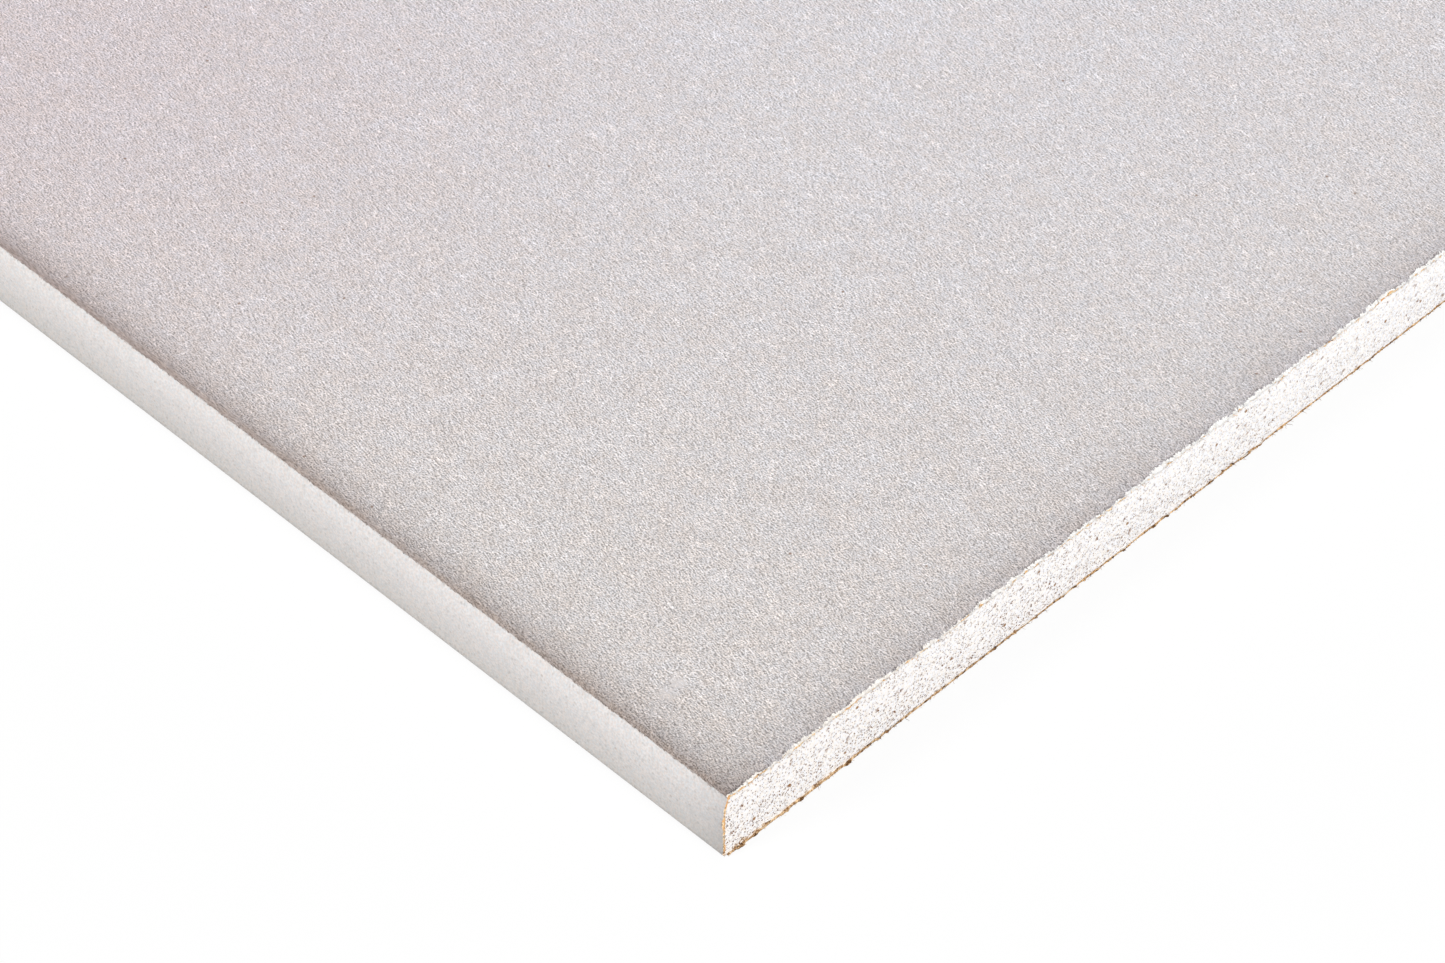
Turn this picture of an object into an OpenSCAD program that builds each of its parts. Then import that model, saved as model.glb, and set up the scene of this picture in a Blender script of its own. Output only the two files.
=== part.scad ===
// Drywall sheet, lying on its back with the face up.
// A gypsum core is cast between two papers. The face paper runs round both
// long edges and folds under the back, and the back paper laps over its flaps.
// Both ends are sawn square, so the core and the papers show there.
// X runs along the sheet, Y across it, and Z is up from the back.

/* [Sheet] */
// Length, along the paper-wrapped edges
sheet_length = 2400; // [600:1:3600]
// Width, from one paper-wrapped edge to the other
sheet_width = 1200; // [400:1:1250]
// Thickness over both papers
sheet_thickness = 12.5; // [9.5:0.1:25]

/* [Long edge] */
// Depth below the face at which the edge starts to lean in
lean_depth = 5; // [3:0.1:8]
// How far the edge has leaned in at the level of the face
lean_in = 1.3; // [0.5:0.1:2]
// Radius of the shoulder, where the edge turns into the face
shoulder_radius = 1; // [0.6:0.1:1.5]
// Radius of the heel, where the edge turns under the back
heel_radius = 0.6; // [0.6:0.1:1.2]

/* [Papers] */
// Thickness of the face paper
face_paper_thickness = 0.4; // [0.2:0.05:0.5]
// Thickness of the back paper
back_paper_thickness = 0.35; // [0.2:0.05:0.5]
// Width of each flap of face paper that is folded under the back
flap_width = 25; // [10:1:50]
// Distance from a long edge to the edge of the back paper
back_paper_setback = 1; // [0.5:0.1:8]

/* [Hidden] */
// Straight pieces in each rounded stretch of the edge
arc_pieces = 8;

half_width = sheet_width / 2;
half_thickness = sheet_thickness / 2;
// Half the width of the back that the flaps leave open
half_open_back = half_width - flap_width;

// Arc centres, measured inwards from the long edge and up from the back
heel_centre = [heel_radius, back_paper_thickness + heel_radius];
lean_radius = (lean_depth ^ 2 + lean_in ^ 2) / (2 * lean_in);
lean_centre = [lean_radius, sheet_thickness - lean_depth];
// The shoulder touches the leaning arc from inside, and the face
shoulder_height = sheet_thickness - shoulder_radius;
shoulder_rise = shoulder_height - lean_centre.y;
shoulder_run = sqrt((lean_radius - shoulder_radius) ^ 2 - shoulder_rise ^ 2);
shoulder_centre = [lean_radius - shoulder_run, shoulder_height];
shoulder_angle = atan2(shoulder_rise, -shoulder_run);

function arc(centre, radius, from, to) = [
    for (i = [0:arc_pieces])
        let (angle = from + (to - from) * i / arc_pieces)
        centre + radius * [cos(angle), sin(angle)]
];

// One long edge, from the back up to the face, moved in by inset all along
function edge_outline(inset) = concat(
    arc(heel_centre, heel_radius - inset, 270, 180),
    arc(lean_centre, lean_radius - inset, 180, shoulder_angle),
    arc(shoulder_centre, shoulder_radius - inset, shoulder_angle, 90)
);

// Section of what the face paper wraps, with the paper's own thickness left
// on at an inset of 0 and taken off at an inset of that thickness
module wrapped_section(inset) {
    near_edge = [for (p = edge_outline(inset)) p - [half_width, 0]];
    far_edge = [for (i = [len(near_edge) - 1:-1:0]) [-near_edge[i].x, near_edge[i].y]];
    polygon(concat(near_edge, far_edge));
}

// Section of the stretch between the two flaps, from a height to mid-thickness
module between_flaps(height) {
    translate([-half_open_back, height])
        square([2 * half_open_back, half_thickness - height]);
}

// Extrudes a section, drawn across the sheet, over the sheet's length
module along_sheet() {
    rotate([90, 0, 90])
        linear_extrude(sheet_length, center = true)
            children();
}

module gypsum_core() {
    color("white")
        union() {
            along_sheet() wrapped_section(face_paper_thickness);
            along_sheet() between_flaps(back_paper_thickness);
        }
}

module face_paper() {
    color("gainsboro")
        along_sheet()
            difference() {
                wrapped_section(0);
                wrapped_section(face_paper_thickness);
                between_flaps(0);
            }
}

module back_paper() {
    color("tan")
        along_sheet()
            translate([back_paper_setback - half_width, 0])
                square([sheet_width - 2 * back_paper_setback, back_paper_thickness]);
}

gypsum_core();
face_paper();
back_paper();
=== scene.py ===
# %% [markdown]
# # A drywall sheet
# Drywall is a slab of cast gypsum between two papers. The light face paper also
# wraps the two long edges, and a brown paper closes the back. The solids already
# hold the sheet at its real size, so this lesson adds what an eye sees from half
# a metre away: felted paper, porous gypsum and the torn edges that a saw leaves.

# %% Load the solids
import math
import random
from bisect import bisect_right
from functools import reduce

import bmesh
import bpy
from mathutils import Matrix, Vector, kdtree, noise


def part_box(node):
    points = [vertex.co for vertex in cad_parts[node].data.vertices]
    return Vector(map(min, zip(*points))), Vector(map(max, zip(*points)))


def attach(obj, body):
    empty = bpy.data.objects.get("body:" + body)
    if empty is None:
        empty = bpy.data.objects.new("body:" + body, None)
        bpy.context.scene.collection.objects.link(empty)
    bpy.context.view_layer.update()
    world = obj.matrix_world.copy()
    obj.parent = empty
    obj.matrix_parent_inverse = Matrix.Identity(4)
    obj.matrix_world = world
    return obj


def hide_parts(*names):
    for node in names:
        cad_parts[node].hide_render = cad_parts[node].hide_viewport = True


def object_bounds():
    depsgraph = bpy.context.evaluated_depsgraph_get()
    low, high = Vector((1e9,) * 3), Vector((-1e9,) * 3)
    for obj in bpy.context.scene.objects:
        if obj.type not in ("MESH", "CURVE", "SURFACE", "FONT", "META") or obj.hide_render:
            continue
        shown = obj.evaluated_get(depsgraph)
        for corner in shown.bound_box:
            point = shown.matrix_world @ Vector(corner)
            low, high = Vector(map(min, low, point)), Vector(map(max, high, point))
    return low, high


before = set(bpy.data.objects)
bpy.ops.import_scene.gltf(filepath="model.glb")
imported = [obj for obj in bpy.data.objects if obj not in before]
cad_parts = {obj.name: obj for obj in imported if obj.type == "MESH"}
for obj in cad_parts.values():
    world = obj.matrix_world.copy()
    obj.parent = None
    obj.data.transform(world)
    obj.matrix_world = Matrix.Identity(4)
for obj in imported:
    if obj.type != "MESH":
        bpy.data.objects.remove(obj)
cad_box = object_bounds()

MM = 0.001
half_length, half_width, thickness = cad_box[1]
print(f"sheet {2 * half_length:.3f} x {2 * half_width:.3f} x {thickness:.4f} m")

# %% [markdown]
# ## Camera
# A photograph of a plain sheet gives away its camera: the two edges that meet at
# the near corner fix the turn, the tilt and the lens. The camera is then placed
# from that corner, so a change of the sheet's size keeps the corner in its place.

# %% Place the camera
PHOTO_SIZE = Vector((1445, 963))
CORNER_PIXEL = Vector((722.7, 859.2))
FOCAL_PIXELS = 4410.7
CORNER_DEPTH = 0.60355
SENSOR_WIDTH = 36
TURN = math.radians(44.95)
TILT = math.radians(45.23)
NEAREST_SEEN = 0.01

near_corner = Vector((half_length, -half_width, 0))
backwards = Vector((math.sin(TURN) * math.cos(TILT), -math.cos(TURN) * math.cos(TILT), math.sin(TILT)))
rightwards = Vector((math.cos(TURN), math.sin(TURN), 0))
upwards = backwards.cross(rightwards)
off_centre = (CORNER_PIXEL - PHOTO_SIZE / 2) * CORNER_DEPTH / FOCAL_PIXELS

camera = bpy.data.objects.new("camera", bpy.data.cameras.new("camera"))
bpy.context.scene.collection.objects.link(camera)
bpy.context.scene.camera = camera
camera.data.sensor_width = SENSOR_WIDTH
camera.data.lens = FOCAL_PIXELS / PHOTO_SIZE.x * SENSOR_WIDTH
camera.data.clip_start = NEAREST_SEEN
place = near_corner + backwards * CORNER_DEPTH - rightwards * off_centre.x + upwards * off_centre.y
turned = Matrix((rightwards, upwards, backwards)).transposed().to_4x4()
camera.matrix_world = Matrix.Translation(place) @ turned
print(f"lens {camera.data.lens:.1f} mm, camera at {tuple(round(c, 3) for c in place)}")

# %% [markdown]
# ## Finish helpers
# A finish is a small network of nodes. One helper adds a node, sets its options
# and joins its inputs, so each finish below reads as a list of steps. Colours are
# written as they look on a screen, and turned into the linear values of a shader.

# %% Node helpers
MATT_SPECULAR = 0.15


def screen(red, green, blue):
    """A linear colour, from the 0 to 255 values of a screen."""
    parts = [c / 255 for c in (red, green, blue)]
    return [c / 12.92 if c <= 0.04045 else ((c + 0.055) / 1.055) ** 2.4 for c in parts] + [1]


def node(tree, kind, inputs=None, **options):
    """Adds a shader node. An input is either a plain value or the socket that feeds it."""
    made = tree.nodes.new("ShaderNode" + kind)
    for name, value in options.items():
        setattr(made, name, value)
    for key, value in (inputs or {}).items():
        if isinstance(value, bpy.types.NodeSocket):
            tree.links.new(value, made.inputs[key])
        else:
            made.inputs[key].default_value = value
    return made


def math_node(tree, operation, *values, clamp=False):
    """The result of a sum on sockets or plain numbers."""
    return node(tree, "Math", dict(enumerate(values)), operation=operation, use_clamp=clamp).outputs[0]


def mix_colour(tree, share, first, second, blend_type="MIX"):
    """Two colours mixed by a share."""
    made = node(tree, "Mix", {0: share, 6: first, 7: second}, data_type="RGBA", blend_type=blend_type)
    return made.outputs[2]


def tinted(tree, share, colour, factor):
    """A colour multiplied by a factor for each of red, green and blue, as far as a share says."""
    return mix_colour(tree, share, colour, (*factor, 1), "MULTIPLY")


def ramp(tree, value, start, stop, out_start=0.0, out_stop=1.0, smooth=True):
    """A value turned from one range to another, and held at its ends."""
    made = node(tree, "MapRange", {0: value, 1: start, 2: stop, 3: out_start, 4: out_stop})
    made.interpolation_type = "SMOOTHSTEP" if smooth else "LINEAR"
    return made.outputs[0]


def lumps(tree, place, size, detail=2.0):
    """Soft noise around 0.5, whose lumps are about the given size."""
    return node(tree, "TexNoise", {"Vector": place, "Scale": 1 / size, "Detail": detail}).outputs["Fac"]


def spots(tree, place, size, reach, share):
    """Scattered dots, 1 inside and 0 outside. Each cell of the given size may hold one."""
    cells = node(tree, "TexVoronoi", {"Vector": place, "Scale": 1 / size}).outputs
    held = math_node(tree, "LESS_THAN", cells["Color"], share)
    dot = ramp(tree, cells["Distance"], reach * 0.5, reach, 1.0, 0.0)
    return math_node(tree, "MULTIPLY", held, dot)


def attribute(tree, name):
    """A value that the mesh carries at its points."""
    return node(tree, "Attribute", attribute_name=name).outputs["Fac"]


def edge_distance(tree, place):
    """How far a point lies from the nearer long edge, and from the nearer sawn end."""
    away = node(tree, "VectorMath", {0: place}, operation="ABSOLUTE").outputs[0]
    parts = node(tree, "SeparateXYZ", {0: away}).outputs
    from_long = math_node(tree, "SUBTRACT", half_width, parts["Y"])
    from_end = math_node(tree, "SUBTRACT", half_length, parts["X"])
    return from_long, from_end


def fading(tree, distance, reach):
    """1 at an edge, falling away over the given reach."""
    return math_node(tree, "EXPONENT", math_node(tree, "MULTIPLY", distance, -1 / reach))


def new_finish(name, roughness):
    """A material with a matt shader, whose tree and shader are returned too."""
    material = bpy.data.materials.new(name)
    material.use_nodes = True
    tree = material.node_tree
    shader = tree.nodes["Principled BSDF"]
    shader.inputs["Roughness"].default_value = roughness
    shader.inputs["Specular IOR Level"].default_value = MATT_SPECULAR
    return material, tree, shader


def set_finish(tree, shader, colour, relief, depth):
    """Gives a shader its colour, and a bump of the given depth in metres."""
    tree.links.new(colour, shader.inputs["Base Color"])
    bump = node(tree, "Bump", {"Height": relief, "Strength": 1.0, "Distance": depth})
    tree.links.new(bump.outputs[0], shader.inputs["Normal"])


print("node helpers ready")

# %% [markdown]
# ## Floor and light
# The floor shows as white to the camera, and it still takes a little of the
# sheet's shadow. It throws less light back than it shows, so the low parts of the
# sheet keep their shade. Two broad suns stand in for soft boxes: the key comes from
# the side of the wrapped edge and rakes over the paper, and the fill lights the sawn
# end. A pale world does the rest, so colours come out about as they are written.

# %% Floor
FLOOR_HALF_SIZE = 20
FLOOR_WHITE_SHARE = 0.9
FLOOR_AS_SEEN = (0.95, 0.95, 0.95, 1)
FLOOR_AS_BOUNCED = (0.45, 0.45, 0.45, 1)

floor_mesh = bmesh.new()
bmesh.ops.create_grid(floor_mesh, x_segments=1, y_segments=1, size=FLOOR_HALF_SIZE)
floor = bpy.data.objects.new("floor", bpy.data.meshes.new("floor"))
floor_mesh.to_mesh(floor.data)
floor_mesh.free()
bpy.context.scene.collection.objects.link(floor)


def seen_directly(tree):
    """1 for rays from the camera, or by way of a mirror or glass, and 0 for the rest."""
    path = node(tree, "LightPath").outputs
    shown = math_node(tree, "MAXIMUM", path["Is Camera Ray"], path["Is Glossy Ray"])
    return math_node(tree, "MAXIMUM", shown, path["Is Transmission Ray"])


floor_finish = bpy.data.materials.new("floor_white")
floor_finish.use_nodes = True
tree = floor_finish.node_tree
tree.nodes.remove(tree.nodes["Principled BSDF"])
seen = seen_directly(tree)
matt_colour = mix_colour(tree, seen, FLOOR_AS_BOUNCED, FLOOR_AS_SEEN)
matt = node(tree, "BsdfDiffuse", {"Color": matt_colour})
white = node(tree, "Emission", {"Color": (1, 1, 1, 1), "Strength": 1.0})
share = math_node(tree, "MULTIPLY", seen, FLOOR_WHITE_SHARE)
mixed = node(tree, "MixShader", {0: share, 1: matt.outputs[0], 2: white.outputs[0]})
tree.links.new(mixed.outputs[0], tree.nodes["Material Output"].inputs["Surface"])
floor.data.materials.append(floor_finish)
print("floor", floor.name)

# %% Light
WORLD_LIGHT = 0.42

scene = bpy.context.scene
scene.view_settings.view_transform = "Standard"
scene.world = bpy.data.worlds.new("pale_room")
scene.world.use_nodes = True
tree = scene.world.node_tree
strength = ramp(tree, seen_directly(tree), 0, 1, WORLD_LIGHT, 1.0, smooth=False)
tree.links.new(strength, tree.nodes["Background"].inputs["Strength"])
tree.nodes["Background"].inputs["Color"].default_value = (1, 1, 1, 1)


def soft_sun(name, heading, height, strength, spread):
    """A broad sun. Its heading is the compass side it stands on, from +X round to +Y, in degrees."""
    lamp = bpy.data.lights.new(name, "SUN")
    lamp.energy = strength
    lamp.angle = math.radians(spread)
    made = bpy.data.objects.new(name, lamp)
    scene.collection.objects.link(made)
    flat = math.cos(math.radians(height))
    towards = Vector((
        flat * math.cos(math.radians(heading)),
        flat * math.sin(math.radians(heading)),
        math.sin(math.radians(height)),
    ))
    made.rotation_mode = "QUATERNION"
    made.rotation_quaternion = towards.to_track_quat("Z", "Y")
    return made


key = soft_sun("key_light", heading=-108, height=30, strength=2.05, spread=18)
fill = soft_sun("fill_light", heading=-8, height=24, strength=2.15, spread=30)
print("lights", key.name, fill.name)

# %% [markdown]
# ## From a solid to a grid
# The solids are exact but bare: one flat face from edge to edge. To tear an edge
# or pit a face, a mesh needs points there. Each piece below starts as a flat grid,
# is extruded over the sheet's length, and gets finer squares near the corner that
# the camera sees. Only then is it put onto the section, read from its own solid.

# %% Grid helpers
FINE_REACH = 172 * MM
SAME_PLACE = 1e-6
FLAT_ENOUGH = math.radians(0.5)


def outline_of(name):
    """The section of a solid as a closed run of (y, z) points, read from its end face."""
    bm = bmesh.new()
    bm.from_mesh(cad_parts[name].data)
    bmesh.ops.remove_doubles(bm, verts=bm.verts, dist=SAME_PLACE)
    bmesh.ops.dissolve_limit(bm, angle_limit=FLAT_ENOUGH, verts=bm.verts, edges=bm.edges)
    end = max(bm.faces, key=lambda face: face.calc_center_median().x)
    points = [v.co.yz for v in end.verts]
    bm.free()
    return points


def crossings(points, axis, value):
    """Where a closed run of points meets a value of y (axis 0) or z (axis 1), on the other axis."""
    other = 1 - axis
    found = []
    for a, b in zip(points, points[1:] + points[:1]):
        if a[axis] != b[axis] and min(a[axis], b[axis]) <= value <= max(a[axis], b[axis]):
            found.append(a[other] + (b[other] - a[other]) * (value - a[axis]) / (b[axis] - a[axis]))
    return found


def even_steps(start, stop, size):
    """Places from start up to, but without, stop, at about the given size apart."""
    count = max(1, round((stop - start) / size))
    return [start + (stop - start) * i / count for i in range(count)]


def slab(columns, rows, cut_distances):
    """A grid at the near end, extruded to the far one, with rows cut in behind both ends.
    Its points hold (x, place along the section, share across it)."""
    bm = bmesh.new()
    bmesh.ops.create_grid(bm, x_segments=len(columns) - 1, y_segments=rows, size=0.5)
    for v in bm.verts:
        column = round((v.co.x + 0.5) * (len(columns) - 1))
        v.co = (half_length, columns[column], v.co.y + 0.5)
    grown = bmesh.ops.extrude_face_region(bm, geom=bm.faces[:], use_keep_orig=True)["geom"]
    far = [part for part in grown if isinstance(part, bmesh.types.BMVert)]
    bmesh.ops.translate(bm, verts=far, vec=(-2 * half_length, 0, 0))
    for distance in cut_distances:
        for side in (-1, 1):
            bmesh.ops.bisect_plane(
                bm, geom=bm.verts[:] + bm.edges[:] + bm.faces[:], dist=SAME_PLACE,
                plane_co=(side * (half_length - distance), 0, 0), plane_no=(1, 0, 0),
            )
    return bm


def refine(bm, cuts, behind, fine_stop, across_only):
    """Cuts edges near the shown corner into finer pieces: all of them, or those across the sheet."""
    edges = [
        edge for edge in bm.edges
        if all(v.co.x > half_length - behind - SAME_PLACE and v.co.y < fine_stop for v in edge.verts)
        and not (across_only and abs(edge.verts[0].co.y - edge.verts[1].co.y) < SAME_PLACE)
    ]
    bmesh.ops.subdivide_edges(bm, edges=edges, cuts=cuts, use_grid_fill=True)


def finished_piece(bm, name, finish, solid):
    """Makes an object of a bmesh, puts its finish on and lets it stand for its solid."""
    bmesh.ops.recalc_face_normals(bm, faces=bm.faces)
    mesh = bpy.data.meshes.new(name)
    bm.to_mesh(mesh)
    bm.free()
    mesh.materials.append(finish)
    mesh.shade_smooth()
    piece = bpy.data.objects.new(name, mesh)
    scene.collection.objects.link(piece)
    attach(piece, "root")
    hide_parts(solid)
    triangles = sum(len(face.vertices) - 2 for face in mesh.polygons)
    print(f"{name}: {triangles} triangles")


def wobble(place, size, seed=0.0):
    """Smooth noise from -1 to 1, whose lumps are about the given size."""
    return noise.noise(Vector(place) / size + Vector((seed, seed * 1.7, seed * 0.3)))


def rough(place, waves):
    """Smooth noise of several sizes, added up. A wave is its height, its size in mm and its seed."""
    return sum(height * wobble(place, size * MM, seed) for height, size, seed in waves)


def between(value, start, stop):
    """How far a value has come from start to stop, held at 0 and 1."""
    return min(1.0, max(0.0, (value - start) / (stop - start)))


print("grid helpers ready")

# %% [markdown]
# ## Gypsum core
# The core is foamed when it is cast, so a saw opens thousands of bubbles, most of
# them a third of a millimetre across. The pits could be bump in a material, but
# near the camera they cast shadows of their own, so there they are real hollows
# in squares of a fifth of a millimetre. The saw also breaks the core's top edge
# away, and presses the face paper down into the gap.

# %% Core grid
CORE_SQUARE = 1.2 * MM
CORE_CUTS = 5
CORE_ROWS = 10
STEP_WIDTH = 0.01 * MM
CRUMBLED_BEHIND = 3 * MM
CORNER_STEP = 0.1 * MM
CORNER_COLUMNS = 5

core_outline = outline_of("gypsum_core")
core_edge = max(point.x for point in core_outline)
core_bottom = min(point.y for point in core_outline)
flap_edge = max(point.x for point in core_outline if point.y < core_bottom + SAME_PLACE)
fine_y = FINE_REACH - half_width


def core_span(y):
    """Lowest and highest point of the core's section at a place across the sheet."""
    heights = crossings(core_outline, 0, y)
    return min(heights), max(heights)


corner_steps = [CORNER_STEP * i * i for i in range(CORNER_COLUMNS)]
core_columns = [step - core_edge for step in corner_steps[:-1]]
core_columns += even_steps(corner_steps[-1] - core_edge, -flap_edge - STEP_WIDTH, CORE_SQUARE)
core_columns += [-flap_edge - STEP_WIDTH]
core_columns += even_steps(-flap_edge + STEP_WIDTH, flap_edge - STEP_WIDTH, CORE_SQUARE)
core_columns += [flap_edge - STEP_WIDTH]
core_columns += even_steps(flap_edge + STEP_WIDTH, core_edge - corner_steps[-1], CORE_SQUARE)
core_columns += [core_edge - step for step in reversed(corner_steps)]

core = slab(core_columns, CORE_ROWS, [CRUMBLED_BEHIND])
refine(core, CORE_CUTS, 0, fine_y, across_only=False)
print("core columns", len(core_columns), "points", len(core.verts))

# %% Bend the core onto its section
# The pressed depths and the heights of the waves are in millimetres
PRESSED = 0.4
PRESSED_MORE = 0.2
PRESS_WAVES = ((0.2, 4, 40), (0.15, 1.1, 41))
PRESS_STARTS = (1.2 * MM, 2.7 * MM)
EDGE_STRETCH = (45 * MM, 75 * MM)
CORE_FOLLOWS = 0.85


def press(y, side):
    """How far the saw has pressed the face paper's cut edge down: more so inside the edge stretch."""
    inside = half_width - abs(y)
    pressed = PRESSED + PRESSED_MORE * between(inside, *EDGE_STRETCH)
    pressed += rough((y, 11 * side * MM, 0), PRESS_WAVES)
    return pressed * MM * between(inside, *PRESS_STARTS)


spans = {}
for v in core.verts:
    place = round(v.co.y, 7)
    if place not in spans:
        spans[place] = core_span(min(max(v.co.y, -core_edge), core_edge))
    bottom, top = spans[place]
    if half_length - abs(v.co.x) < SAME_PLACE:
        top -= CORE_FOLLOWS * press(v.co.y, math.copysign(1, v.co.x))
    v.co.z = bottom + (top - bottom) * v.co.z
print("core section points", len(spans))

# %% Pits and grain of the sawn ends
# The usual pore's radius and the heights of the waves are in millimetres
PORES_PER_SQUARE_MM = 0.7
LARGEST_PORE = 0.4 * MM
USUAL_PORE = 0.18
PORE_SPREAD = 0.4
PORE_DEPTHS = (0.6, 1.3)
FULL_PIT = 0.25 * MM
SET_BACK = 0.07 * MM
GRAIN_WAVES = ((0.07, 4, 0), (0.05, 1.1, 3), (0.04, 0.45, 7))
STAINED_INSIDE = 3 * MM
STAIN_BY_WRAP = 0.6 * MM
STAIN_UNDER_FACE = 0.4 * MM

draw = random.Random(11)
pore_count = round(PORES_PER_SQUARE_MM * FINE_REACH * thickness / MM ** 2)
pore_tree = kdtree.KDTree(pore_count)
pore_sizes = []
for i in range(pore_count):
    size = min(LARGEST_PORE, draw.lognormvariate(math.log(USUAL_PORE), PORE_SPREAD) * MM)
    pore_sizes.append((size, size * draw.uniform(*PORE_DEPTHS)))
    pore_tree.insert((draw.uniform(0, FINE_REACH) - half_width, draw.uniform(0, thickness), 0), i)
pore_tree.balance()


def pore_depth(y, z):
    """How deep the bubbles are at a place on the shown end."""
    deepest = 0.0
    for _, index, distance in pore_tree.find_range((y, z, 0), LARGEST_PORE):
        radius, depth = pore_sizes[index]
        if distance < radius:
            deepest = max(deepest, depth * math.sqrt(1 - (distance / radius) ** 2))
    return deepest


def wrap_inside(z):
    """How far from the middle of the sheet the wrapped paper touches the core at a height."""
    return max(crossings(core_outline, 1, z), default=core_edge)


pit = core.verts.layers.float.new("pit")
stain = core.verts.layers.float.new("stain")
for v in core.verts:
    side = math.copysign(1, v.co.x)
    if half_length - abs(v.co.x) > SAME_PLACE:
        continue
    grain = MM * rough((v.co.y, v.co.z, side), GRAIN_WAVES)
    hollow = 0.0
    if side > 0 and v.co.y < fine_y:
        hollow = pore_depth(v.co.y, v.co.z)
    v[pit] = min(1.0, hollow / FULL_PIT)
    if core_edge - abs(v.co.y) < STAINED_INSIDE:
        v[stain] = 1 - between(wrap_inside(v.co.z) - abs(v.co.y), 0, STAIN_BY_WRAP)
    paper_edge = spans[round(v.co.y, 7)][1] - press(v.co.y, side)
    v[stain] = max(v[stain], 1 - between(paper_edge - v.co.z, 0, STAIN_UNDER_FACE))
    v.co.x -= side * (SET_BACK + grain + hollow)
print("pores", pore_count)

# %% [markdown]
# ## Gypsum finish
# Set gypsum is a chalky white that hardly shines. Broken bubbles look greyer and a
# little brown, since dust and shade sit in them. The pits of the mesh carry their
# depth as an attribute, and two sizes of cell texture add the pores that are too
# small for the mesh, so the far stretches of the ends look porous too.

# %% Gypsum material
WHITEST = screen(255, 254, 254)
DULL_LOW = screen(226, 222, 219)
DULL_HIGH = screen(251, 249, 248)
PORE_SHADE = screen(122, 80, 46)
PAPER_STAIN = screen(226, 172, 116)
STRAW = screen(148, 104, 56)
NEAR_EDGE_SHADE = (0.97, 0.957, 0.943)

gypsum_finish, tree, shader = new_finish("sawn_gypsum", 0.95)
place = node(tree, "TexCoord").outputs["Object"]
depth = ramp(tree, attribute(tree, "pit"), 0.25, 0.9)
grain = lumps(tree, place, 0.3 * MM, 2.0)
patches = ramp(tree, lumps(tree, place, 2.4 * MM), 0.35, 0.6, 0.5, 1.0)
pores = math_node(tree, "MULTIPLY", spots(tree, place, 0.48 * MM, 0.35, 0.65), patches)
pinholes = math_node(tree, "MULTIPLY", spots(tree, place, 0.31 * MM, 0.4, 0.5), 0.75)
hollows = math_node(tree, "MAXIMUM", pores, pinholes)
height = node(tree, "SeparateXYZ", {0: place}).outputs["Z"]
from_long = edge_distance(tree, place)[0]
# Painted shade: the dull grain is darker low on the end and lighter higher up, as the light falls.
lit_by_height = ramp(tree, height, 1 * MM, 10 * MM, smooth=False)
dull = mix_colour(tree, lit_by_height, DULL_LOW, DULL_HIGH)
chalk = mix_colour(tree, ramp(tree, grain, 0.3, 0.56), dull, WHITEST)
warm = ramp(tree, lumps(tree, place, 0.5 * MM, 1.0), 0.4, 0.62)
hue = mix_colour(tree, warm, (0.985, 1.0, 1.035, 1), (1.01, 0.975, 0.935, 1))
chalk = mix_colour(tree, 1.0, chalk, hue, "MULTIPLY")
# Painted shade: the chalk is darker near the long edge than further along the end.
by_edge = ramp(tree, from_long, 0, 130 * MM, 1.0, 0.0, smooth=False)
chalk = tinted(tree, by_edge, chalk, NEAR_EDGE_SHADE)
# The pores' painted shade is strongest near the long edge and low down, and weaker further along and
# higher up, where the end is lit brighter.
pore_shade_share = math_node(
    tree, "MULTIPLY",
    ramp(tree, from_long, 20 * MM, 150 * MM, 1.22, 0.58),
    ramp(tree, height, 3 * MM, 11 * MM, 1.0, 0.65),
)
pitted = math_node(tree, "MULTIPLY", depth, 0.6)
shade = math_node(tree, "MULTIPLY_ADD", hollows, pore_shade_share, pitted, clamp=True)
colour = mix_colour(tree, shade, chalk, PORE_SHADE)
ragged = lumps(tree, place, 0.8 * MM, 3.0)
soaked = math_node(tree, "MULTIPLY_ADD", ragged, 1.6, attribute(tree, "stain"))
colour = mix_colour(tree, ramp(tree, soaked, 1.5, 1.65), colour, PAPER_STAIN)
straws = math_node(tree, "MULTIPLY", spots(tree, place, 2.2 * MM, 0.18, 0.35), 0.95)
colour = mix_colour(tree, straws, colour, STRAW)
relief = math_node(tree, "SUBTRACT", grain, hollows)
set_finish(tree, shader, colour, relief, 0.09 * MM)
finished_piece(core, "sawn_gypsum_core", gypsum_finish, "gypsum_core")

# %% [markdown]
# ## Face paper
# The face paper is a strip that runs from one flap under the back, up a long edge,
# across the face and down the other edge. A saw tears it: the cut wanders, plies
# come apart, and the edge is pressed down. The strip is three plies thick at its
# cut, and a few rows of points behind it let the tear fade out into flat paper.

# %% Face paper grid
PAPER_SQUARE = 1.2 * MM
PAPER_CUTS = 7
PLIES = 3
TEAR_ROWS = [0.2 * MM, 0.45 * MM, 0.8 * MM, 1.3 * MM, 3 * MM]
PRESSED_BEHIND = TEAR_ROWS[-2]


def runs_of_wrap():
    """The outer and the inner run of the wrapped paper's section, from flap to flap."""
    points = outline_of("face_paper")
    bottom = min(p.y for p in points)
    on_bottom = [p for p in points if p.y < bottom + SAME_PLACE]
    first = max((p for p in on_bottom if p.x < 0), key=lambda p: p.x)
    start = points.index(first)
    points = points[start:] + points[:start]
    if abs(points[1].x - first.x) < SAME_PLACE:
        points = points[:1] + points[:0:-1]
    half = len(points) // 2
    return points[:half], points[:half - 1:-1]


outer_run, inner_run = runs_of_wrap()
run_places = [0.0]
for a, b in zip(outer_run, outer_run[1:]):
    run_places.append(run_places[-1] + (b - a).length)
face_start = next(s for s, p in zip(run_places, outer_run) if p.y > thickness - SAME_PLACE)
fine_end = face_start + FINE_REACH
paper_columns = []
for a, b in zip(run_places, run_places[1:]):
    paper_columns += even_steps(a, b, PAPER_SQUARE)
paper_columns.append(run_places[-1])

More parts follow.
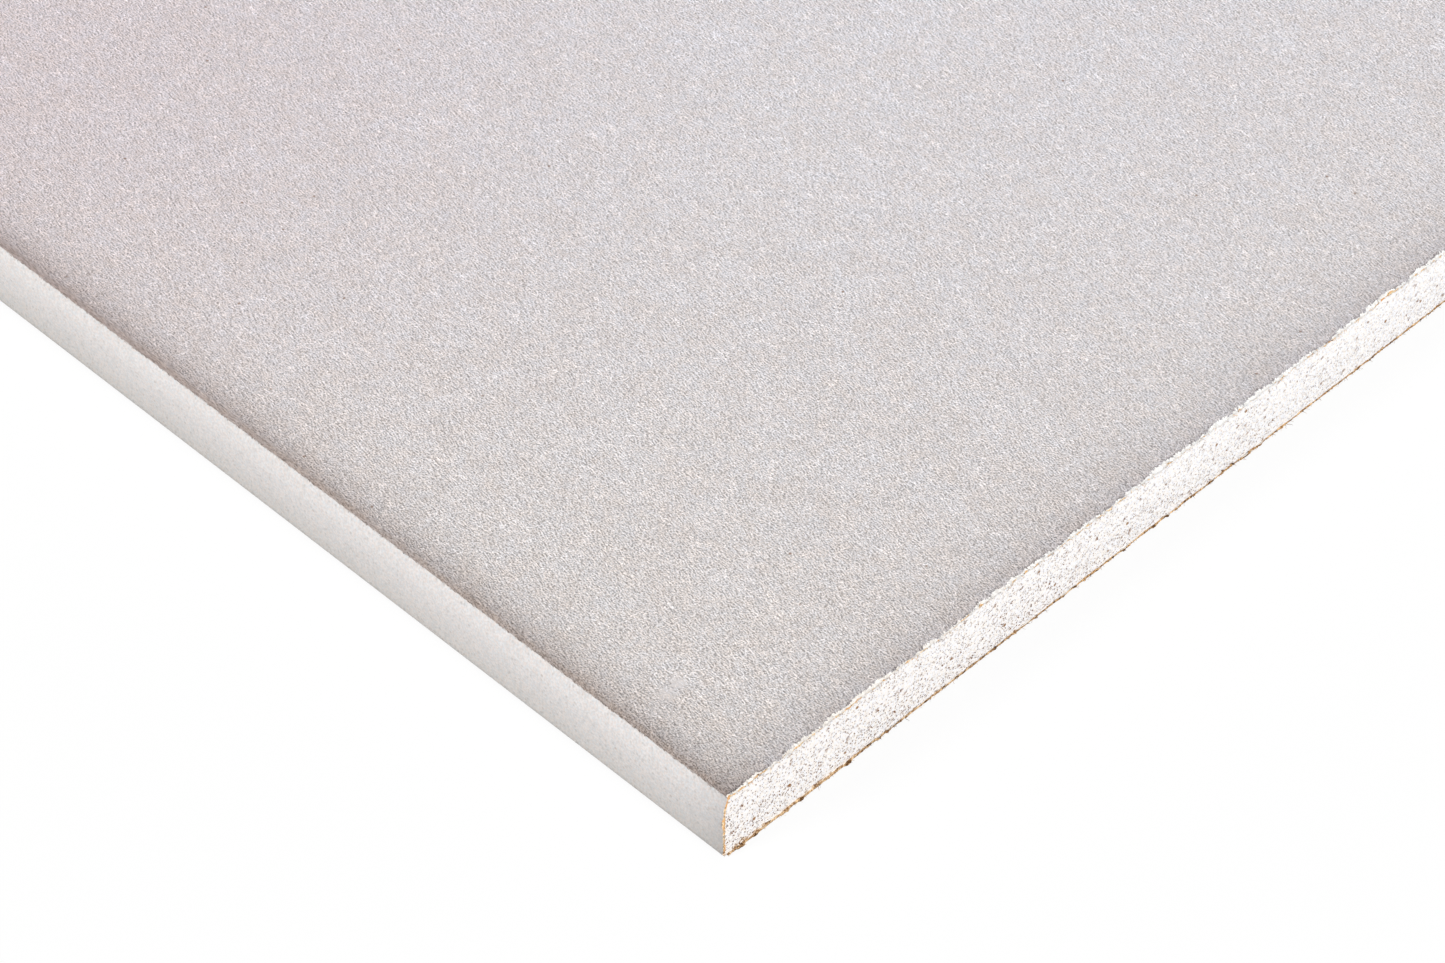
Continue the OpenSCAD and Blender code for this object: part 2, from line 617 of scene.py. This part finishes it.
paper = slab(paper_columns, PLIES, TEAR_ROWS)
refine(paper, PAPER_CUTS, TEAR_ROWS[-1], fine_end, across_only=True)
print("paper columns", len(paper_columns), "points", len(paper.verts))

# %% Tear the paper and bend it onto the section
# The sizes of the tear are in millimetres
CUT_WAVES = ((0.1, 3, 1), (0.1, 0.8, 2), (0.12, 0.35, 4))
NOTCH = 1.5
NOTCH_FROM = 0.42
LOOSE = 0.2
CURL = 0.35
CURL_FROM = 0.25
OVERHANG = 0.12
SAWN_SHORT = 0.02


def on_wrap(s, share):
    """A point of the wrapped paper's section, and the way out of the sheet there."""
    i = min(max(bisect_right(run_places, s) - 1, 0), len(run_places) - 2)
    t = (s - run_places[i]) / (run_places[i + 1] - run_places[i])
    outer = outer_run[i].lerp(outer_run[i + 1], t)
    inner = inner_run[i].lerp(inner_run[i + 1], t)
    return outer.lerp(inner, share), (outer - inner).normalized()


def cut_edge(s, share, side):
    """A point of the torn cut: how far out of the end it stands, and its place in the section."""
    point, outwards = on_wrap(s, share)
    on_face = max(0.0, outwards.y) ** 2
    along = (s, 5 * side * MM, 0)
    wander = rough(along, CUT_WAVES) * (0.4 + 0.6 * on_face)
    notch = NOTCH * max(0.0, wobble(along, 5 * MM, 5) - NOTCH_FROM) * (1 - 0.7 * share)
    loose = LOOSE * wobble((s, side * MM, share * 0.9 * MM), 0.9 * MM, 9) * (1 - 0.4 * share)
    stands_out = OVERHANG * on_face - SAWN_SHORT - wander - notch * on_face - loose
    curl = CURL * MM * max(0.0, wobble(along, 1.8 * MM, 12) - CURL_FROM) * (1 - 0.6 * share)
    shift = Vector((0, -press(point.x, side) * on_face)) + outwards * curl
    return stands_out * MM, point, shift


ply_layer = paper.verts.layers.float.new("ply")
fray_layer = paper.verts.layers.float.new("fray")
level_layer = paper.verts.layers.float.new("level")
for v in paper.verts:
    x, s, share = v.co
    side = math.copysign(1, x)
    behind = half_length - abs(x)
    stands_out, point, shift = cut_edge(s, share, side)
    v[ply_layer] = share
    v[fray_layer] = 1 - between(behind, 0, TEAR_ROWS[2])
    v[level_layer] = point.y / MM
    pressed = (1 - between(behind, 0, PRESSED_BEHIND)) ** 2
    point = point + shift * pressed
    v.co = (x + side * stands_out * pressed, point.x, point.y)
print("face paper bent onto", len(outer_run), "section points")

# %% [markdown]
# ## Shreds and fibres
# Where a saw pulls paper apart, loose fibres and small crumbs stick to the edge.
# There are thousands, so only a few shapes are modelled: a fibre is a three-sided
# cone, cut into rings that sway, and a crumb is the coarsest ball that Blender
# makes, knocked about. Copies of them are placed and joined into one mesh at a time.

# %% Shred helpers
SHAPES_OF_EACH = 8
FIBRE_RINGS = 3
FIBRE_BEND = 5
FIBRE_SPREAD = 0.45
# In millimetres, like the usual length below
LONGEST_FIBRE = 1.2
CRUMB_KNOCKS = (0.65, 1.35)


def shape_of(bm):
    """The points and faces of a small bmesh, as plain lists."""
    bm.verts.index_update()
    shape = [v.co.copy() for v in bm.verts], [[v.index for v in face.verts] for face in bm.faces]
    bm.free()
    return shape


def fibre_shape(draw):
    """A fibre with a length of 1 along Z and a radius of 1 at its root."""
    bm = bmesh.new()
    bmesh.ops.create_cone(bm, cap_ends=True, segments=3, radius1=1.0, radius2=0.4, depth=1.0)
    lengthwise = [edge for edge in bm.edges if abs(edge.verts[0].co.z - edge.verts[1].co.z) > 0.5]
    bmesh.ops.subdivide_edges(bm, edges=lengthwise, cuts=FIBRE_RINGS, use_grid_fill=True)
    bends = [draw.uniform(-FIBRE_BEND, FIBRE_BEND) for _ in range(4)]
    bend, sway = Vector((*bends[:2], 0)), Vector((*bends[2:], 0))
    for v in bm.verts:
        along = v.co.z + 0.5
        v.co += bend * along ** 2 + sway * 0.5 * math.sin(2 * math.pi * along)
        v.co.z = along
    return shape_of(bm)


def crumb_shape(draw):
    """A lump with a radius of about 1."""
    bm = bmesh.new()
    bmesh.ops.create_icosphere(bm, subdivisions=1, radius=1.0)
    for v in bm.verts:
        v.co *= draw.uniform(*CRUMB_KNOCKS)
    return shape_of(bm)


def join_shreds(bm, shreds, layers):
    """Joins placed copies of shapes into a body. Each shred is a shape, a matrix and its marks."""
    points, faces, marks = [], [], []
    for (shape_points, shape_faces), placed, marked in shreds:
        first = len(points)
        points += [placed @ point for point in shape_points]
        faces += [[first + i for i in face] for face in shape_faces]
        marks += [marked] * len(shape_points)
    mesh = bpy.data.meshes.new("shreds")
    mesh.from_pydata(points, [], faces)
    first = len(bm.verts)
    bm.from_mesh(mesh)
    bpy.data.meshes.remove(mesh)
    bm.verts.ensure_lookup_table()
    for v, marked in zip(bm.verts[first:], marks):
        for layer, value in zip(layers, marked):
            v[layer] = value


def fibre_length(draw, usual):
    """A random length of fibre, around a usual one in millimetres."""
    return min(LONGEST_FIBRE, draw.lognormvariate(math.log(usual), FIBRE_SPREAD)) * MM


def placed_fibre(root, heading, length, radius):
    """The matrix that puts a fibre at its root."""
    turned = heading.to_track_quat("Z", "Y").to_matrix().to_4x4()
    return Matrix.Translation(root) @ turned @ Matrix.Diagonal((radius, radius, length, 1))


def placed_crumb(centre, sizes, spin):
    """The matrix that puts a crumb at its centre."""
    return Matrix.Translation(centre) @ Matrix.Rotation(spin, 4, "X") @ Matrix.Diagonal((*sizes, 1))


def places_along(draw, start, stop, fine_stop, near_gap, far_gap):
    """Random places along a cut, close together near the camera and further apart beyond."""
    s = start
    while s < stop:
        yield s
        s += draw.expovariate(1 / (near_gap if s < fine_stop else far_gap))


draw = random.Random(5)
fibres = [fibre_shape(draw) for _ in range(SHAPES_OF_EACH)]
crumbs = [crumb_shape(draw) for _ in range(SHAPES_OF_EACH)]
print("shred shapes", len(fibres) + len(crumbs))

# %% Fibres on the face paper's cuts
NEAR_GAP = 0.35 * MM
FAR_GAP = 2.5 * MM
GAPS_OF_ENDS = ((1, NEAR_GAP), (-1, FAR_GAP))
FRAYED_PLIES = (0.0, 0.1, 0.3, 0.95)
ROOT_DEPTH = 0.1 * MM

draw = random.Random(23)
flap_width = outer_run[0].x + half_width
shreds = []
for side, near_gap in GAPS_OF_ENDS:
    for s in places_along(draw, flap_width, run_places[-1] - flap_width, fine_end, near_gap, FAR_GAP):
        share = draw.choice(FRAYED_PLIES)
        stands_out, point, shift = cut_edge(s, share, side)
        point = point + shift
        outwards = on_wrap(s, share)[1]
        root = Vector((side * (half_length + stands_out - ROOT_DEPTH), point.x, point.y))
        out, along = Vector((0, *outwards)), Vector((0, -outwards.y, outwards.x))
        heading = Vector((side * draw.uniform(0.3, 1.0), 0, 0)) + along * draw.gauss(0, 0.7)
        heading += out * draw.uniform(-0.8, 0.3) * (1 - share)
        length = fibre_length(draw, 0.4)
        placed = placed_fibre(root, heading, length, draw.uniform(0.03, 0.065) * MM)
        shreds.append((draw.choice(fibres), placed, (share, 1.0, point.y / MM)))
join_shreds(paper, shreds, (ply_layer, fray_layer, level_layer))
print("face paper fibres", len(shreds))

# %% [markdown]
# ## Felt of the face paper
# The paper is felted from short fibres that lie mostly along the sheet, the way it
# ran through the machine. Each layer of fibres is noise stretched along one heading,
# and the highest layer wins, as it does where fibres cross. Bump alone looks flat in
# soft light, so the colour is to carry the shading too: the flank of a fibre that
# leans to the light is painted pale, and the other one dark. The slope says which.

# %% Felted relief
FIBRE_HEADINGS = (-8, -20, 4, -73)
FIBRE_LENGTH = 0.9 * MM
FIBRE_WIDTH = 0.23 * MM
LAYER_SHIFT = (0.013, 0.029, 0.007)
# The heading of the painted light on the fibres' flanks, and the step over which the felt's slope is
# read.
PAINTED_LIGHT_HEADING = 48
SLOPE_STEP = 0.3 * MM


def highest(tree, values):
    """The largest of several values."""
    return reduce(lambda first, second: math_node(tree, "MAXIMUM", first, second), values)


def moved(tree, place, heading, distance):
    """A place shifted by a distance along a heading in the plane of the sheet."""
    turned = math.radians(heading)
    step = (distance * math.cos(turned), distance * math.sin(turned), 0)
    return node(tree, "VectorMath", {0: place, 1: step}, operation="ADD").outputs[0]


def strands(tree, place, heading, offset, length=FIBRE_LENGTH, width=FIBRE_WIDTH):
    """Noise stretched along a heading in the plane of the sheet."""
    laid = node(tree, "Mapping", {
        "Vector": place,
        "Location": [part * offset for part in LAYER_SHIFT],
        "Rotation": (0, 0, math.radians(heading)),
        "Scale": (length, width, width),
    }, vector_type="TEXTURE").outputs[0]
    return lumps(tree, laid, 1.0, 0.0)


def felt(tree, place):
    """The height of the felted fibres, from about 0 to 1."""
    layers = (strands(tree, place, heading, i) for i, heading in enumerate(FIBRE_HEADINGS))
    return ramp(tree, highest(tree, layers), 0.4, 0.7, smooth=False)


def lit_flank_share(tree, place, height):
    """How far fibres lean out of their own shade: 1 on the lit flank, 0 on the shaded one."""
    further = moved(tree, place, PAINTED_LIGHT_HEADING, SLOPE_STEP)
    rise = math_node(tree, "SUBTRACT", height, felt(tree, further))
    return ramp(tree, rise, -0.8, 0.8, smooth=False)


print("fibre headings", FIBRE_HEADINGS)

# %% Finest and stray fibres
FINE_HEADINGS = ((-14, 1.0), (58, 0.85))
FINE_LENGTH = 0.42 * MM
FINE_WIDTH = 0.18 * MM
FINE_OFFSET = 11
STRAY_HEADINGS = (12, -38, 74)
STRAY_LENGTH = 2.6 * MM
STRAY_WIDTH = 0.9 * MM
STRAY_OFFSET = 7
STRAY_LEVEL = 0.62


def fine_fibres(tree, place):
    """The finest fibres: above 0 on the lit flank of each, and below 0 on the shaded one."""
    fuzz = 0.0
    for heading, share in FINE_HEADINGS:
        beside = moved(tree, place, heading + 90, FINE_WIDTH)
        here = strands(tree, place, heading, FINE_OFFSET, FINE_LENGTH, FINE_WIDTH)
        there = strands(tree, beside, heading, FINE_OFFSET, FINE_LENGTH, FINE_WIDTH)
        fuzz = math_node(tree, "MULTIPLY_ADD", math_node(tree, "SUBTRACT", here, there), share, fuzz)
    return fuzz


def stray_fibres(tree, place):
    """Thin bright fibres that lie on top, 1 on a fibre and 0 elsewhere."""
    lines = []
    for i, heading in enumerate(STRAY_HEADINGS):
        strand = strands(tree, place, heading, STRAY_OFFSET + i, STRAY_LENGTH, STRAY_WIDTH)
        off_line = math_node(tree, "ABSOLUTE", math_node(tree, "SUBTRACT", strand, STRAY_LEVEL))
        lines.append(ramp(tree, off_line, 0.0, 0.03, 1.0, 0.0))
    return highest(tree, lines)


print("fine headings", len(FINE_HEADINGS), "stray headings", len(STRAY_HEADINGS))

# %% Places on the face
SCUFFS = ((18.8 * MM, 8.0 * MM), (19.3 * MM, 10.6 * MM))
SCUFF_RADIUS = 1.5 * MM
RUBBED = 0.9


def away_from(tree, place, back, aside):
    """The distance from a place on the face, which is so far back and aside from the shown corner."""
    centre = near_corner + Vector((-back, aside, thickness))
    return node(tree, "VectorMath", {0: place, 1: centre}, operation="DISTANCE").outputs["Value"]


def nearness(tree, place, back, aside, reach):
    """1 at a place on the face, falling to 0 at the given reach."""
    return ramp(tree, away_from(tree, place, back, aside), 0, reach, 1.0, 0.0)


def scuffed(tree, place, ragged):
    """How far something has rubbed the felt smooth. It is 0 outside the scuffs."""
    patches = []
    for back, aside in SCUFFS:
        away = away_from(tree, place, back, aside)
        away = math_node(tree, "MULTIPLY_ADD", ragged, 2 * SCUFF_RADIUS, away)
        patches.append(ramp(tree, away, 1.5 * SCUFF_RADIUS, 2.3 * SCUFF_RADIUS, RUBBED, 0.0))
    return highest(tree, patches)


print("scuffs", len(SCUFFS))

# %% [markdown]
# ## Face paper finish
# The face, the wrapped side and the torn cut are one sheet of paper, so they share
# one material. The same few patterns run through all three: fibres, flecks, blotches
# and clouds from small to large, the distance to each edge, and what the mesh knows
# about its own plies, frayed points and levels. The level is a height in millimetres.

# %% Patterns of the face paper
CREASE_DROP = 0.75
CREASE_WIDTH = 0.14
CREASE_TEETH = -0.25

paper_finish, tree, shader = new_finish("felted_face_paper", 0.9)
place = node(tree, "TexCoord").outputs["Object"]
relief = felt(tree, place)
stray = stray_fibres(tree, place)
hues = lumps(tree, place, 0.32 * MM, 1.0)
flecks = lumps(tree, place, 0.45 * MM, 1.0)
blotches = lumps(tree, place, 1.6 * MM, 2.0)
fringe = lumps(tree, place, 3.5 * MM, 4.0)
clouds = lumps(tree, place, 5 * MM, 3.0)
specks = math_node(tree, "MULTIPLY", spots(tree, place, 3 * MM, 0.1, 0.2), 0.7)
scuff = scuffed(tree, place, flecks)
from_long, from_end = edge_distance(tree, place)
ply, fray, level = (attribute(tree, name) for name in ("ply", "fray", "level"))
face_level = thickness / MM
crease_level = face_level - CREASE_DROP
teeth = math_node(tree, "MULTIPLY_ADD", relief, CREASE_TEETH, level)
wrap = ramp(tree, teeth, crease_level - CREASE_WIDTH, crease_level, 1.0, 0.0, smooth=False)
print(f"the face turns into the side at {crease_level:.2f} mm")

# %% [markdown]
# ## Colour of the face
# The grey of the face isn't even. It is warm near the shown corner, and painted
# reflections of the light make it cooler further in and a little pink along the edge.
# Soft patches that fade with their distance from the corner give that without a
# picture. Each grey then splits into a painted lit and shaded flank, and the felt's
# slope and height pick one of them.

# %% Greys and flanks
WARM_GREY = screen(217, 212, 211)
COOL_GREY = screen(219, 216, 221)
COOL_BEYOND = 0.75
PINK_REFLECTION_TINT = (0.965, 0.915, 0.945)
CLOUDY = (0.98, 0.97, 0.96)
LIT_FLANK = (1.37, 1.37, 1.37)
SHADED_FLANK = (0.55, 0.535, 0.52)
EVEN_LIE = 0.54
LEAST_CALM = 0.17

corner_nearness = nearness(tree, place, 0, 0, 150 * MM)
# Painted reflections: a pink tint along the edge, and a cool grey further in and far from the corner.
pink_reflection = nearness(tree, place, 200 * MM, 20 * MM, 150 * MM)
cool = nearness(tree, place, 120 * MM, 180 * MM, 260 * MM)
beyond = ramp(tree, nearness(tree, place, 0, 0, 420 * MM), 0.0, 1.0, COOL_BEYOND, 0.0)
grey = mix_colour(tree, math_node(tree, "MAXIMUM", cool, beyond), WARM_GREY, COOL_GREY)
grey = tinted(tree, ramp(tree, clouds, 0.35, 0.65), grey, CLOUDY)
grey = tinted(tree, pink_reflection, grey, PINK_REFLECTION_TINT)

# The finest fibres' painted flank light is stronger near the shown corner.
fuzz_share = ramp(tree, corner_nearness, 0.0, 0.5, 0.75, 1.2)
fuzz = math_node(tree, "MULTIPLY", fine_fibres(tree, place), fuzz_share)
# lie is the share of painted light: a lit flank, a higher fibre and a finest fibre's lit side take more
# of it.
lie = math_node(tree, "MULTIPLY_ADD", lit_flank_share(tree, place, relief), 0.54, fuzz)
lie = math_node(tree, "MULTIPLY_ADD", relief, 0.4, lie)
lie = math_node(tree, "ADD", lie, 0.015)
calm = math_node(tree, "MAXIMUM", scuff, LEAST_CALM)
lie = ramp(tree, calm, 0, 1, lie, EVEN_LIE, smooth=False)
shaded = tinted(tree, 1.0, grey, SHADED_FLANK)
face = mix_colour(tree, lie, shaded, tinted(tree, 1.0, grey, LIT_FLANK))
print("flanks lit", LIT_FLANK, "shaded", SHADED_FLANK)

# %% Hues, specks and edges of the face
COOL_HUE = (0.965, 0.99, 1.015, 1)
WARM_HUE = (1.04, 1.01, 0.975, 1)
STRAY_SHINE = (1.25, 1.25, 1.25)
FACE_SPECK = screen(140, 106, 80)
SHOULDER_DROP = 0.06
SHOULDER_SHADE = (0.85, 0.83, 0.8)
# Painted shade: the face darkens in bands along its long edges and towards its sawn ends.
PAINTED_EDGE_SHADES = (
    (from_long, 3 * MM, (0.34, 0.275, 0.245)),
    (from_end, 4.6 * MM, (0.77, 0.755, 0.755)),
    (from_end, 1 * MM, (0.86, 0.86, 0.87)),
)

warmth = math_node(tree, "MULTIPLY_ADD", blotches, 0.55, math_node(tree, "MULTIPLY", hues, 0.75))
warmth = math_node(tree, "MULTIPLY_ADD", clouds, 0.2, warmth)
hue = mix_colour(tree, ramp(tree, warmth, 0.53, 0.97), COOL_HUE, WARM_HUE)
face = mix_colour(tree, 1.0, face, hue, "MULTIPLY")
face = tinted(tree, stray, face, STRAY_SHINE)
face = mix_colour(tree, specks, face, FACE_SPECK)
for distance, reach, tint in PAINTED_EDGE_SHADES:
    face = tinted(tree, fading(tree, distance, reach), face, tint)
shoulder = ramp(tree, level, face_level - SHOULDER_DROP, face_level, 1.0, 0.0, smooth=False)
face = tinted(tree, shoulder, face, SHOULDER_SHADE)
print("dark edges", len(PAINTED_EDGE_SHADES))

# %% [markdown]
# ## Colour of the wrapped side
# On the side the paper was folded and pressed against a guide, so it is smoother than
# the face. Its flanks would be too small to see, and a faint grain of warm and cool
# dots is enough. Painted shade darkens it towards the floor and towards the sawn end.

# %% Wrapped side
SIDE_LOW = screen(202, 199, 196)
SIDE_HIGH = screen(222, 219, 218)
SIDE_SPECK = screen(150, 120, 96)
SIDE_END_SHADE = (0.78, 0.78, 0.78)
SIDE_FOOT_SHADE = (0.86, 0.86, 0.86)
SIDE_GRAIN = (
    (ramp(tree, hues, 0.35, 0.65), (0.955, 0.895, 0.86)),
    (ramp(tree, flecks, 0.35, 0.65), (0.88, 0.92, 0.95)),
    (ramp(tree, blotches, 0.4, 0.7), (0.97, 0.96, 0.95)),
    (spots(tree, place, 0.9 * MM, 0.32, 0.52), (0.87, 0.86, 0.85)),
)

# Painted shade: the side is darker low down, towards the floor, and lighter higher up.
side = mix_colour(tree, ramp(tree, level, 0.5, 7.0, smooth=False), SIDE_LOW, SIDE_HIGH)
for share, tint in SIDE_GRAIN:
    side = tinted(tree, share, side, tint)
side = mix_colour(tree, math_node(tree, "MULTIPLY", specks, 0.5), side, SIDE_SPECK)
side = tinted(tree, fading(tree, from_end, 5 * MM), side, SIDE_END_SHADE)
side = tinted(tree, ramp(tree, level, 0.6, 1.7, 1.0, 0.0), side, SIDE_FOOT_SHADE)
outside = mix_colour(tree, wrap, face, side)
print("grains of the side", len(SIDE_GRAIN))

# %% [markdown]
# ## Colour of the torn cut
# A tear opens the paper. The plies under its surface are nearly white, and those next
# to the gypsum are tan, so a torn edge has a white fringe with dashes of tan below it.
# The mesh says which ply a point is on and how frayed it is. Noise then breaks up the
# border, because a straight one would look cut and not torn.

# %% Torn plies
FRESH_LOW = screen(242, 238, 234)
FRESH_HIGH = screen(255, 254, 252)
FRESH_BY_EDGE = (0.98, 0.945, 0.91)
TAN_LOW = screen(238, 180, 114)
TAN_HIGH = screen(255, 232, 192)
FLAP_TAN = screen(216, 198, 178)
DARK_FIBRE = screen(126, 86, 50)
FLAP_LEVEL = 0.8
HEEL_LEVEL = 1.2

fresh = mix_colour(tree, ramp(tree, flecks, 0.3, 0.6), FRESH_LOW, FRESH_HIGH)
fresh = tinted(tree, ramp(tree, from_long, 25 * MM, 80 * MM, 1.0, 0.0), fresh, FRESH_BY_EDGE)
tan = mix_colour(tree, ramp(tree, flecks, 0.35, 0.6), TAN_LOW, TAN_HIGH)
tan = mix_colour(tree, ramp(tree, level, FLAP_LEVEL, HEEL_LEVEL, 0.8, 0.0), tan, FLAP_TAN)
low_down = ramp(tree, level, FLAP_LEVEL, 3.0, 1.0, 0.0)
mottled = math_node(tree, "MULTIPLY", math_node(tree, "ADD", hues, flecks), 0.5)
brown = ramp(tree, math_node(tree, "MULTIPLY_ADD", low_down, 0.07, mottled), 0.55, 0.6)
tan = mix_colour(tree, brown, tan, DARK_FIBRE)

on_side = math_node(tree, "SUBTRACT", wrap, ramp(tree, level, FLAP_LEVEL, HEEL_LEVEL, 1.0, 0.0))
broken = math_node(tree, "SUBTRACT", blotches, ramp(tree, from_long, 40 * MM, 80 * MM, 0.06, 0.11))
dashes = math_node(tree, "MAXIMUM", ramp(tree, broken, 0.42, 0.46), on_side)
inner = ramp(tree, math_node(tree, "MULTIPLY_ADD", wrap, 0.6, ply), 0.05, 0.2)
torn = mix_colour(tree, math_node(tree, "MULTIPLY", inner, dashes), fresh, tan)
print("plies of the cut", PLIES)

# %% Put the face paper together
UNDERCUT_SHADE = (0.55, 0.54, 0.54)
SIDE_RELIEF = 0.12
FELT_DEPTH = 0.1 * MM

spared = math_node(tree, "MULTIPLY_ADD", wrap, -2.0, math_node(tree, "MULTIPLY", fray, 2.4))
spared = math_node(tree, "SUBTRACT", spared, ramp(tree, from_long, 4 * MM, 20 * MM, 0.1, 0.0))
ragged = math_node(tree, "MULTIPLY_ADD", hues, 2.0, math_node(tree, "MULTIPLY", fringe, 4.0))
peeled = math_node(tree, "ADD", ragged, spared)
torn_share = math_node(tree, "MAXIMUM", ramp(tree, peeled, 4.7, 4.82), ramp(tree, ply, 0.0, 0.2))
undercut = math_node(tree, "MULTIPLY", ramp(tree, peeled, 3.9, 4.6), ramp(tree, blotches, 0.48, 0.56))
outside = tinted(tree, undercut, outside, UNDERCUT_SHADE)
colour = mix_colour(tree, torn_share, outside, torn)

flatter = ramp(tree, wrap, 0.0, 1.0, 1.0, SIDE_RELIEF, smooth=False)
flatter = math_node(tree, "MULTIPLY", flatter, math_node(tree, "SUBTRACT", 1.0, scuff))
heights = math_node(tree, "MULTIPLY", math_node(tree, "MULTIPLY_ADD", stray, 0.5, relief), flatter)
set_finish(tree, shader, colour, heights, FELT_DEPTH)
finished_piece(paper, "wrapped_face_paper", paper_finish, "face_paper")

# %% [markdown]
# ## Back paper
# The back is closed by plain brown paper, made from old cardboard. At a sawn end it
# is pushed outwards by the saw's teeth, so it shows as a ragged brown line along the
# bottom, with dark clumps of fibre. It is built like the face paper, from a grid with
# a few rows behind the cut, and then swollen and torn outwards.

# %% Back paper grid
BURR_ROWS = [0.2 * MM, 0.8 * MM]

back_low, back_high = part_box("back_paper")
back_thickness = back_high.z - back_low.z
back_columns = even_steps(back_low.y, back_high.y, PAPER_SQUARE) + [back_high.y]
backing = slab(back_columns, PLIES, BURR_ROWS)
refine(backing, PAPER_CUTS, BURR_ROWS[-1], fine_y, across_only=True)
print("back paper columns", len(back_columns), "points", len(backing.verts))

# %% Push the back paper's cut outwards
TUFT_WAVES = ((1, 1.5, 21), (0.5, 0.6, 22))
STEP_REACH = 3 * MM
# In millimetres
THICKENED = 0.2
THINNER_INSIDE = 0.08


def tuft(y, side):
    """How far the brown paper is bunched into a clump, from 0 to 1."""
    return between(rough((y, 7 * side * MM, 0), TUFT_WAVES), 0.15, 0.7)


def burr(y, side):
    """How far the saw has pushed the back paper out of the sheet's end, most of all over the flaps."""
    over_flap = between(abs(y), flap_edge - STEP_REACH, flap_edge)
    steady = -0.04 + 0.16 * over_flap
    bunched = 0.21 + 0.05 * over_flap
    return (steady + bunched * tuft(y, side)) * MM


clump_layer = backing.verts.layers.float.new("clump")
dust_layer = backing.verts.layers.float.new("dust")
for v in backing.verts:
    x, y, share = v.co
    side = math.copysign(1, x)
    behind = half_length - abs(x)
    fade = (1 - between(behind, 0, BURR_ROWS[-1])) ** 2
    pushed = burr(y, side) + 0.08 * MM * wobble((y, share * MM, side * MM), 0.5 * MM, 30)
    thick = THICKENED - THINNER_INSIDE * between(half_width - abs(y), *EDGE_STRETCH)
    inside_flaps = between(flap_edge - abs(y), 0, STEP_REACH)
    swollen = 0.35 * burr(y, side) + thick * MM * inside_flaps
    swollen *= share * (1 - between(behind, 0, BURR_ROWS[0]))
    v[clump_layer] = tuft(y, side) * fade
    v[dust_layer] = share * inside_flaps
    v.co = (x + side * pushed * fade, y, back_low.z + back_thickness * share + swollen)
print("back paper pushed out")

# %% Clumps and fibres on the back paper's cuts
draw = random.Random(37)
shreds = []
for side, near_gap in GAPS_OF_ENDS:
    for y in places_along(draw, back_low.y, back_high.y, fine_y, near_gap, FAR_GAP):
        bunched = tuft(y, side)
        root = Vector((side * (half_length + burr(y, side) * 0.6), y, draw.uniform(0.12, 0.4) * MM))
        heading = Vector((side * draw.uniform(0.1, 0.7), draw.gauss(0, 1), draw.uniform(-0.1, 0.4)))
        length = fibre_length(draw, 0.45)
        placed = placed_fibre(root, heading, length, draw.uniform(0.025, 0.05) * MM)
        tone = draw.random()
        shreds.append((draw.choice(fibres), placed, (tone, 0.0)))
        if draw.random() < 0.15 + 0.5 * bunched:
            size = draw.uniform(0.07, 0.12 + 0.08 * bunched) * MM
            sizes = (size, size * draw.uniform(1.3, 2.6), size)
            centre = root + Vector((side * 0.5 * size, 0, max(0, size - root.z)))
            crumb = draw.choice(crumbs)
            placed = placed_crumb(centre, sizes, draw.uniform(0, 3))
            shreds.append((crumb, placed, (tone, 0.0)))
join_shreds(backing, shreds, (clump_layer, dust_layer))
for v in backing.verts:
    v.co.z = max(v.co.z, back_low.z)
print("back paper shreds", len(shreds))

# %% [markdown]
# ## Back paper finish
# Recycled brown paper is mottled: pale and dark fibres lie mixed in it. Stretched
# noise along the sheet gives the fibres, soft noise gives the mottling, and the
# clumps at the cut are darker, because they are dense and hold more shade.

# %% Back paper material
KRAFT_DARK = screen(166, 126, 86)
KRAFT_PALE = screen(244, 212, 170)
KRAFT_INSIDE = (1.04, 0.98, 0.86)
KRAFT_CLOUD = (0.93, 0.92, 0.91)
KRAFT_SHINE = (1.1, 1.1, 1.1)
CLUMP_BROWN = screen(104, 72, 42)
KRAFT_SPECK = screen(104, 74, 48)
GYPSUM_DUST = screen(248, 243, 236)

backing_finish, tree, shader = new_finish("brown_back_paper", 0.92)
place = node(tree, "TexCoord").outputs["Object"]
relief = felt(tree, place)
mottle = lumps(tree, place, 0.45 * MM, 2.0)
stretches = lumps(tree, place, 1.6 * MM, 2.0)
clouds = lumps(tree, place, 80 * MM, 2.0)
clump = attribute(tree, "clump")
kraft = mix_colour(tree, ramp(tree, mottle, 0.38, 0.6), KRAFT_DARK, KRAFT_PALE)
from_long = edge_distance(tree, place)[0]
kraft = tinted(tree, ramp(tree, from_long, 40 * MM, 90 * MM), kraft, KRAFT_INSIDE)
kraft = tinted(tree, ramp(tree, clouds, 0.35, 0.65), kraft, KRAFT_CLOUD)
kraft = tinted(tree, relief, kraft, KRAFT_SHINE)
dense = math_node(tree, "MULTIPLY_ADD", clump, 0.25, math_node(tree, "ADD", mottle, stretches))
colour = mix_colour(tree, ramp(tree, dense, 1.1, 1.2), kraft, CLUMP_BROWN)
specks = math_node(tree, "MULTIPLY", spots(tree, place, 2.2 * MM, 0.1, 0.3), 0.6)
colour = mix_colour(tree, specks, colour, KRAFT_SPECK)
dusty = math_node(tree, "MULTIPLY_ADD", lumps(tree, place, 3 * MM), 2.0, attribute(tree, "dust"))
colour = mix_colour(tree, ramp(tree, dusty, 1.85, 2.05), colour, GYPSUM_DUST)
set_finish(tree, shader, colour, math_node(tree, "ADD", relief, mottle), 0.05 * MM)
finished_piece(backing, "brown_back_paper", backing_finish, "back_paper")

# %% [markdown]
# ## The solids' box
# The last cell prints the box of the solids. Shreds may stand proud by a fraction of a
# millimetre, and nothing else may leave the sheet's own box.

# %% Sizes and finish
print("solids", [tuple(corner) for corner in cad_box])
